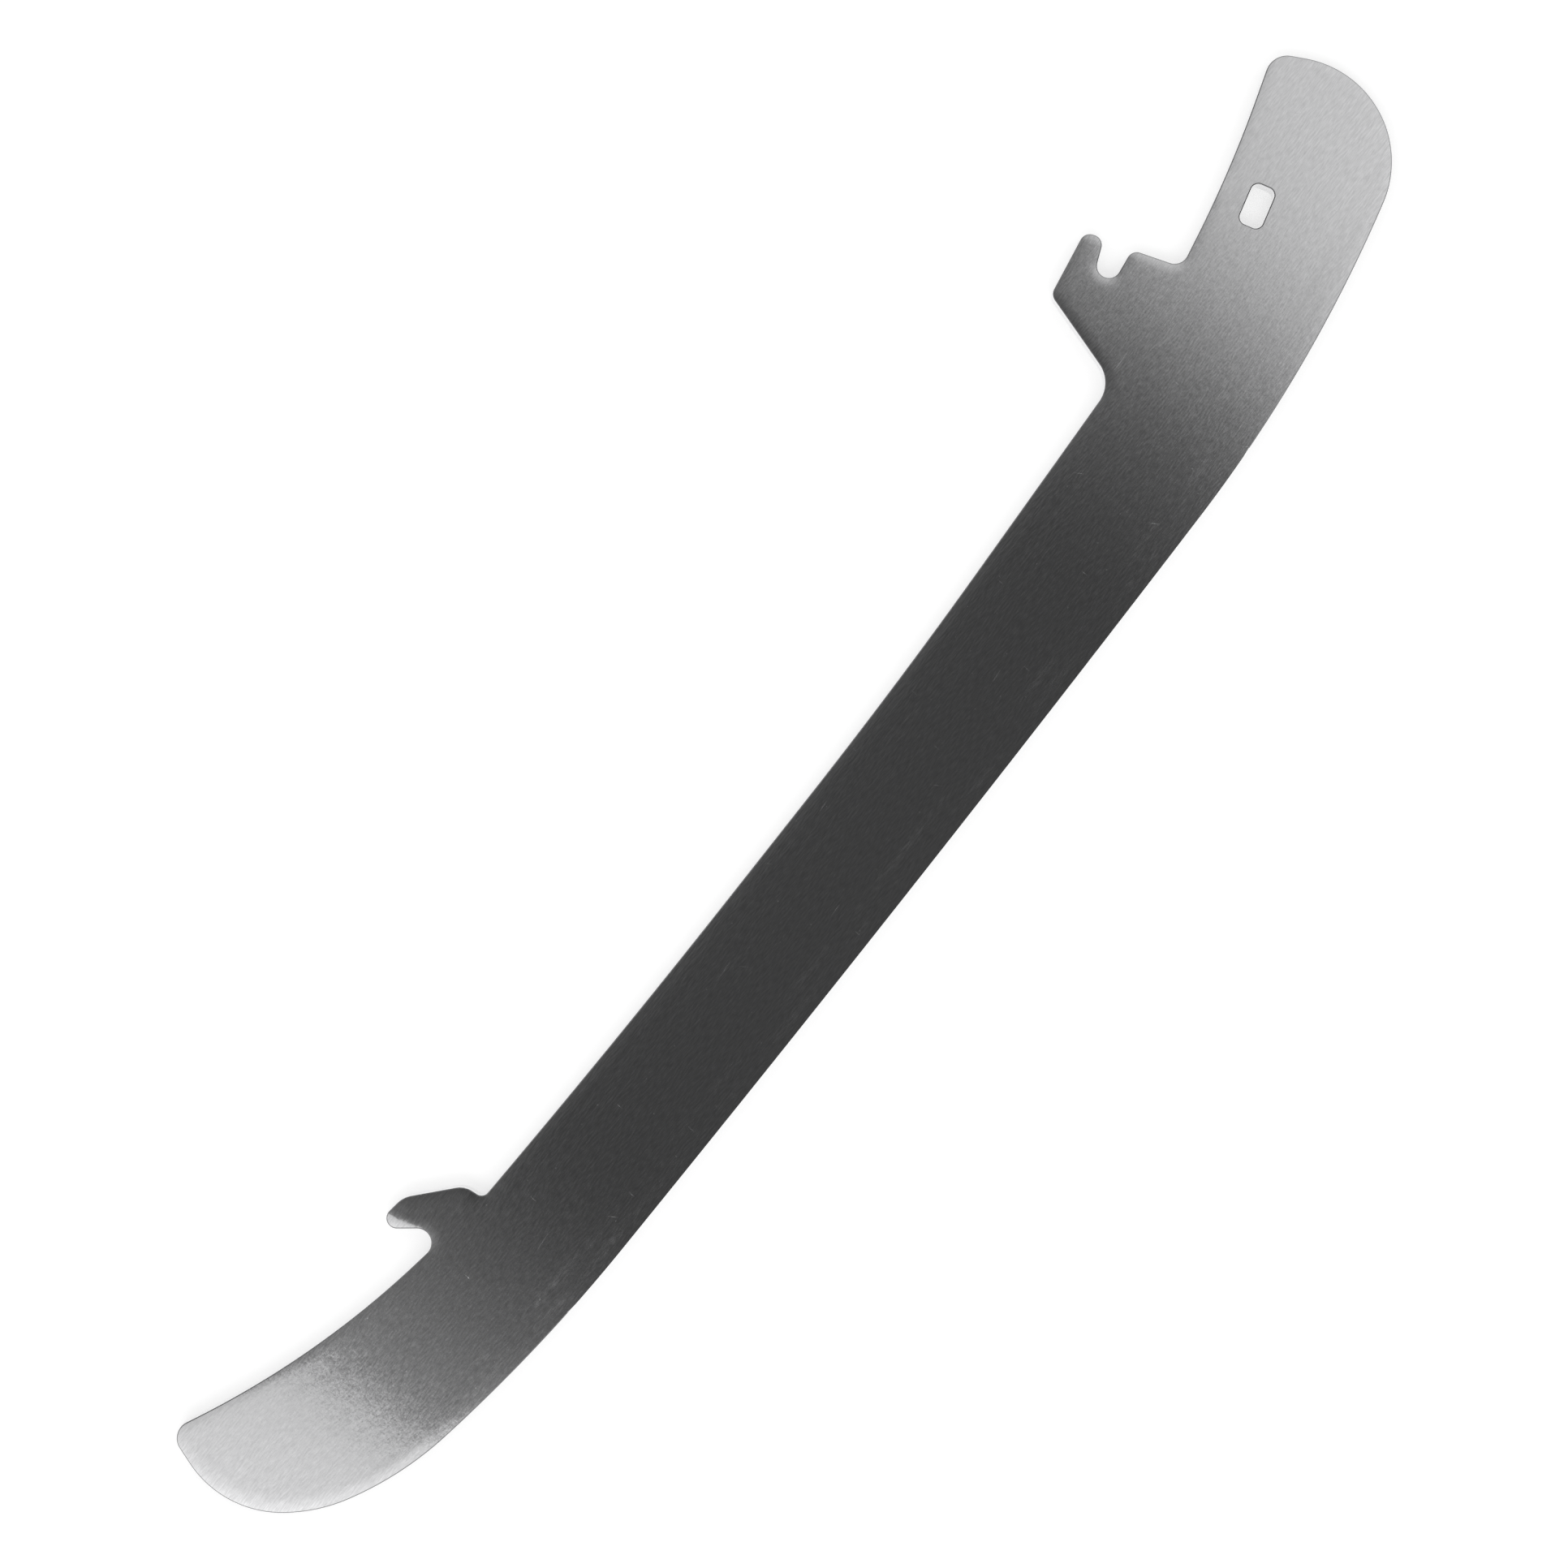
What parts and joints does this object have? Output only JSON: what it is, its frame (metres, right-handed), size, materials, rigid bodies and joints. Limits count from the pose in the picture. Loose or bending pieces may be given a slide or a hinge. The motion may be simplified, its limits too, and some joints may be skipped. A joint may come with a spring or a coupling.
{
  "type": "hockey skate blade",
  "caption": "Flat steel runner for an ice hockey skate: hollow-ground rocker edge, swept-up toe and heel, a toe hook and a notched heel post that fasten it in its holder.",
  "frame": {"origin": "the middle of the rocker, on the ice line, in the plate's middle plane", "axes": "+X along the running edge from the toe to the heel, +Y from the ice to the boot, +Z out of the plate's upper side as it lies flat"},
  "size_m": [0.263, 0.039, 0.0028],
  "materials": {
    "steel": "satin stainless steel with fine lengthwise grain"
  },
  "bodies": {
    "root": {"steel_runner": "steel"}
  },
  "joints": []
}
